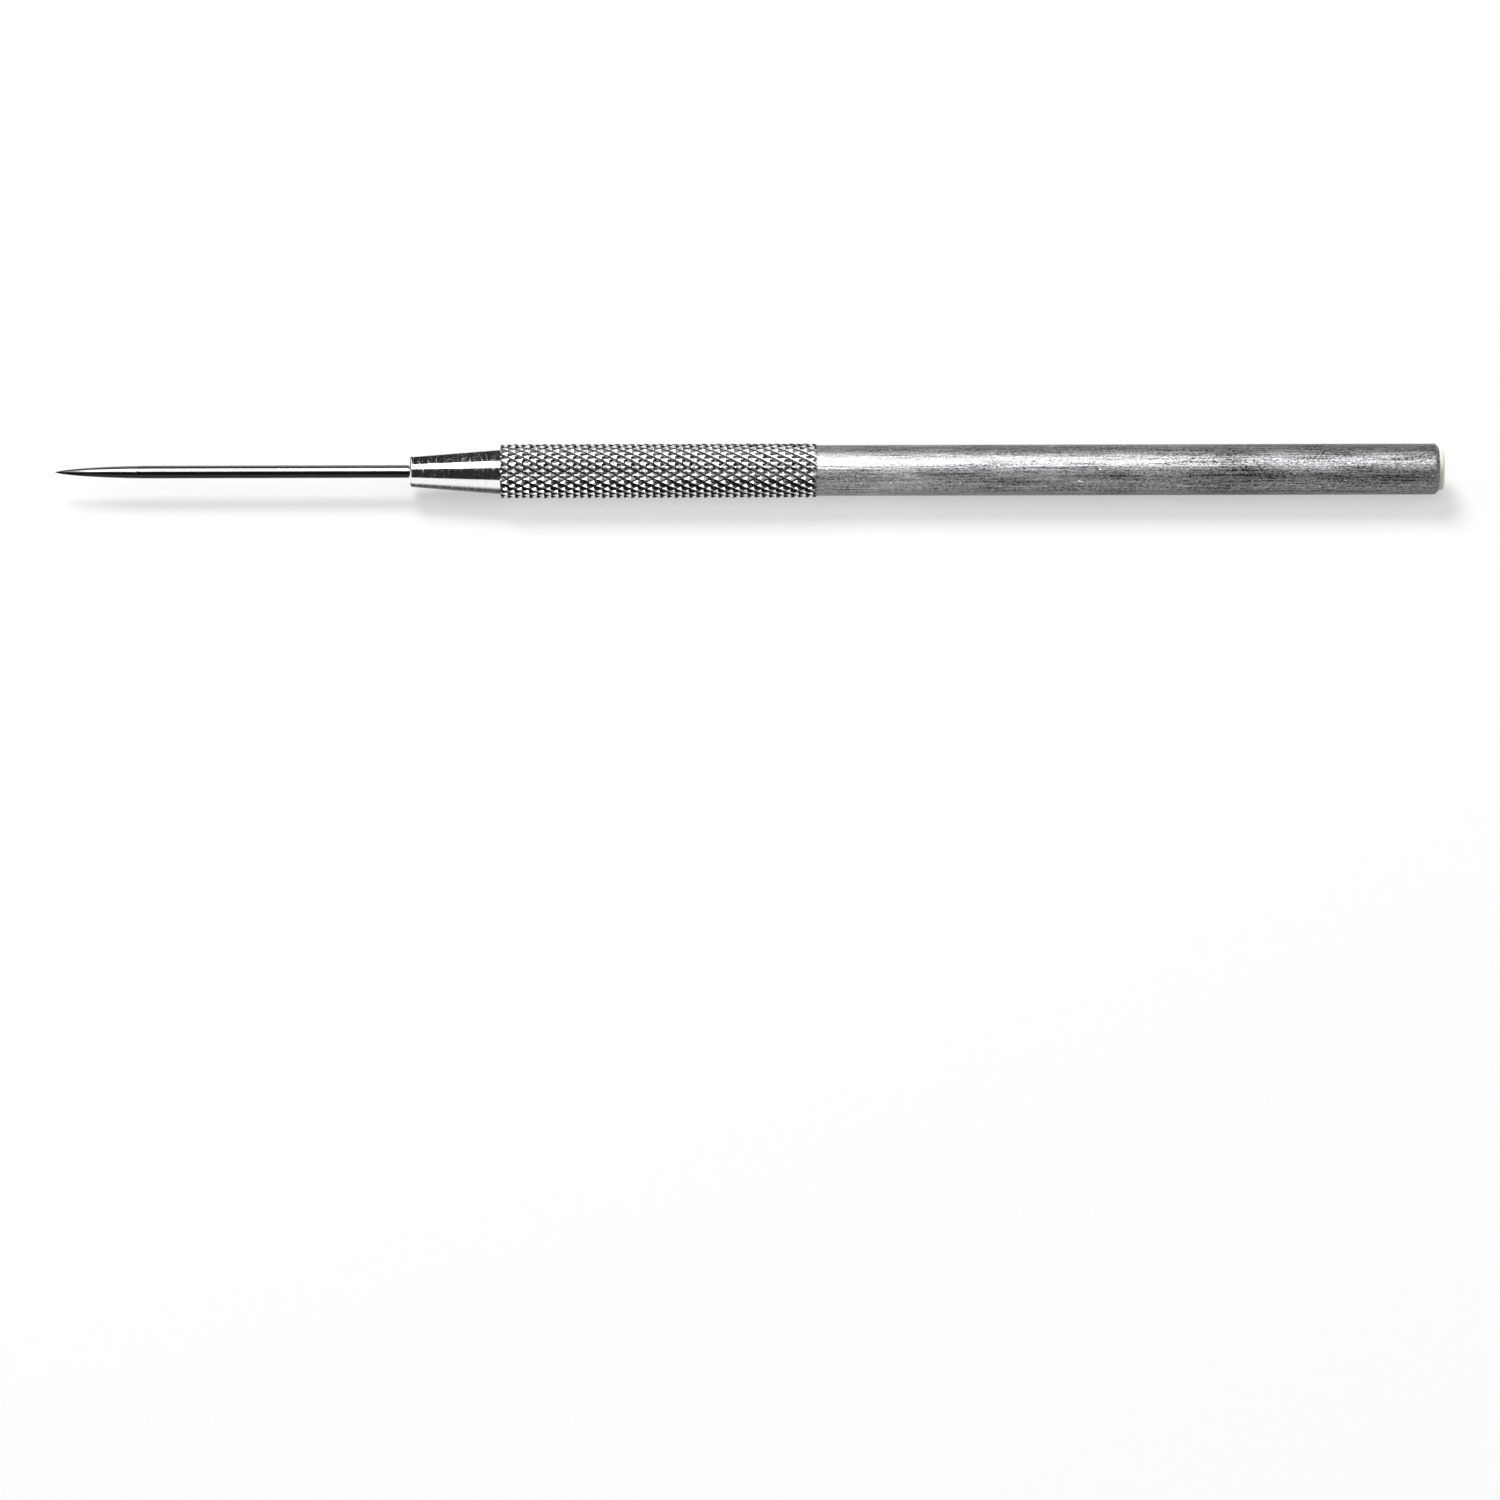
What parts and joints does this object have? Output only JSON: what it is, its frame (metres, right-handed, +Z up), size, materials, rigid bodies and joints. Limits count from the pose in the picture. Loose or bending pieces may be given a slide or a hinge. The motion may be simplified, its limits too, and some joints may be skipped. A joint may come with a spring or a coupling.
{
  "type": "pottery needle tool",
  "caption": "Clay tool with a ground steel needle set in a turned aluminium nose, on a slim tube handle with a diamond-knurled grip and a pale end plug.",
  "frame": {"origin": "on the surface that the tool lies on, under the middle of its length", "axes": "the tool's axis is parallel to X, its point is at -X and its end plug at +X, and +Z is up"},
  "size_m": [0.1732, 0.0068, 0.0068],
  "materials": {
    "needle_steel": "polished, bright",
    "nose_aluminium": "turned bright, with fine rings from the tool",
    "tube_aluminium": "drawn, satin, with fine lines along its length",
    "plug_nylon": "natural nylon, matt"
  },
  "bodies": {
    "root": {"needle": "needle_steel", "nose_cone": "nose_aluminium", "handle_tube": "tube_aluminium", "end_plug": "plug_nylon"}
  },
  "joints": []
}
